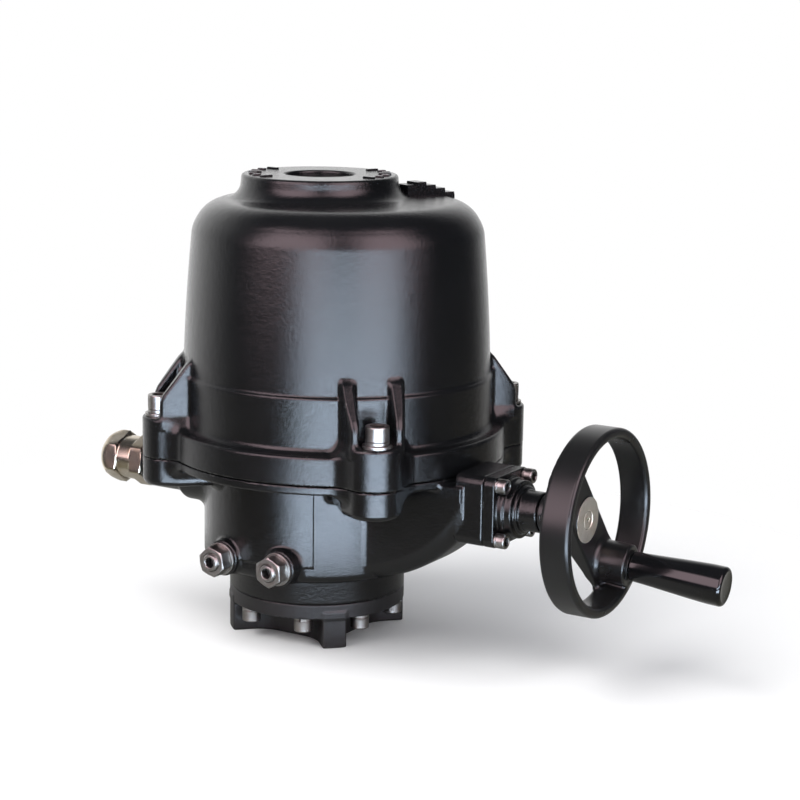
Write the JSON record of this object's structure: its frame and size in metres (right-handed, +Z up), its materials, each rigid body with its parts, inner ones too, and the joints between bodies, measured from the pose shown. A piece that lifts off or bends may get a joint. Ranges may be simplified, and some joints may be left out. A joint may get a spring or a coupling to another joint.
{
  "type": "quarter-turn electric actuator",
  "caption": "Quarter-turn electric valve actuator with a domed cover, side handwheel, end stops and F10 base.",
  "frame": {"origin": "centre of the valve mounting face, on the output axis", "axes": "+Z up along the output axis, +X along the handwheel shaft, the end stops point to -Y"},
  "size_m": [0.4645, 0.2368, 0.3238],
  "materials": {
    "housing_coat": "semi-gloss black powder coat",
    "base_coat": "matt black powder coat",
    "stainless": "turned stainless steel",
    "wheel_coat": "satin black coat",
    "grip_plastic": "glossy black phenolic",
    "nickel": "nickel-plated brass",
    "lens": "clear toughened glass",
    "seal_rubber": "matt black nitrile rubber",
    "gear_steel": "machined steel",
    "bronze": "machined bronze",
    "plate": "milled aluminium",
    "motor_paint": "grey stove enamel",
    "electric_plastic": "moulded plastic",
    "dial": "printed plastic"
  },
  "bodies": {
    "housing": {"mounting_base": "base_coat", "base_screws": "stainless", "base_lock_washers": "stainless", "body_casting": "housing_coat", "cover": "housing_coat", "cover_seal": "seal_rubber", "cover_bolts": "stainless", "cover_flat_washers": "stainless", "cover_lock_washers": "stainless", "window_lens": "lens", "window_seal": "seal_rubber", "window_retainer": "plate", "retainer_screws": "stainless", "shaft_cap": "housing_coat", "cap_screws": "stainless", "cap_lock_washers": "stainless", "shaft_seal": "seal_rubber", "shaft_bearings": "gear_steel", "output_lower_bush": "bronze", "output_upper_bush": "bronze", "output_seal": "seal_rubber", "stop_nuts": "stainless", "stop_seal_washers": "stainless", "gland_body": "nickel", "gland_nut": "nickel", "gland_seal": "seal_rubber", "entry_plug": "nickel", "gear_plate": "plate", "plate_screws": "stainless", "motor": "motor_paint", "motor_gearhead": "plate", "capacitor": "electric_plastic", "capacitor_clip": "electric_plastic", "terminal_rail": "plate", "terminal_block": "electric_plastic", "switch_bracket": "plate", "limit_switches": "electric_plastic", "transfer_lower_bush": "bronze", "transfer_upper_bush": "bronze"},
    "output": {"drive_sleeve": "gear_steel", "drive_insert": "gear_steel", "output_gear": "gear_steel", "stop_lever": "gear_steel", "indicator_shaft": "gear_steel", "switch_cams": "electric_plastic", "indicator_dial": "dial"},
    "transfer": {"transfer_shaft": "gear_steel", "transfer_pinion": "gear_steel", "worm_wheel": "bronze", "transfer_gear": "gear_steel"},
    "motor_drive": {"motor_pinion": "gear_steel"},
    "hand_drive": {"handwheel_shaft": "gear_steel", "worm": "gear_steel", "handwheel": "wheel_coat", "hub_set_screw": "stainless", "handle_spindle": "stainless", "handle_washer": "stainless"},
    "grip": {"handle_grip": "grip_plastic"},
    "left_stop": {"stop_screw_left": "stainless"},
    "right_stop": {"stop_screw_right": "stainless"}
  },
  "joints": [
    {"name": "output_turn", "type": "hinge", "parent": "housing", "child": "output", "pos_m": [0, 0, 0], "axis": [0, 0, 1], "range_deg": [0, 90]},
    {"name": "transfer_turn", "type": "hinge", "parent": "housing", "child": "transfer", "pos_m": [0.05248, 0.009, 0.1], "axis": [0, 0, 1], "range_deg": [-402.04, 0]},
    {"name": "motor_turn", "type": "hinge", "parent": "housing", "child": "motor_drive", "pos_m": [0.03998, 0.03065, 0.13], "axis": [0, 0, 1], "range_deg": [0, 1272.04]},
    {"name": "handwheel_turn", "type": "hinge", "parent": "housing", "child": "hand_drive", "pos_m": [0.2, -0.018, 0.1135], "axis": [1, 0, 0], "range_deg": [0, 4818.96]},
    {"name": "grip_spin", "type": "hinge", "parent": "hand_drive", "child": "grip", "pos_m": [0.2415, 0.00982, 0.07915], "axis": [0.9954, 0.0603, -0.0745], "continuous": true},
    {"name": "left_stop_travel", "type": "slide", "parent": "housing", "child": "left_stop", "axis": [0, -1, 0], "range_m": [0, 0.004]},
    {"name": "right_stop_travel", "type": "slide", "parent": "housing", "child": "right_stop", "axis": [0, -1, 0], "range_m": [0, 0.004]}
  ],
  "couplings": [
    {"joint": "transfer_turn", "follows": "output_turn", "ratio": -4.4615},
    {"joint": "motor_turn", "follows": "output_turn", "ratio": 14.128},
    {"joint": "handwheel_turn", "follows": "output_turn", "ratio": 53.538}
  ]
}
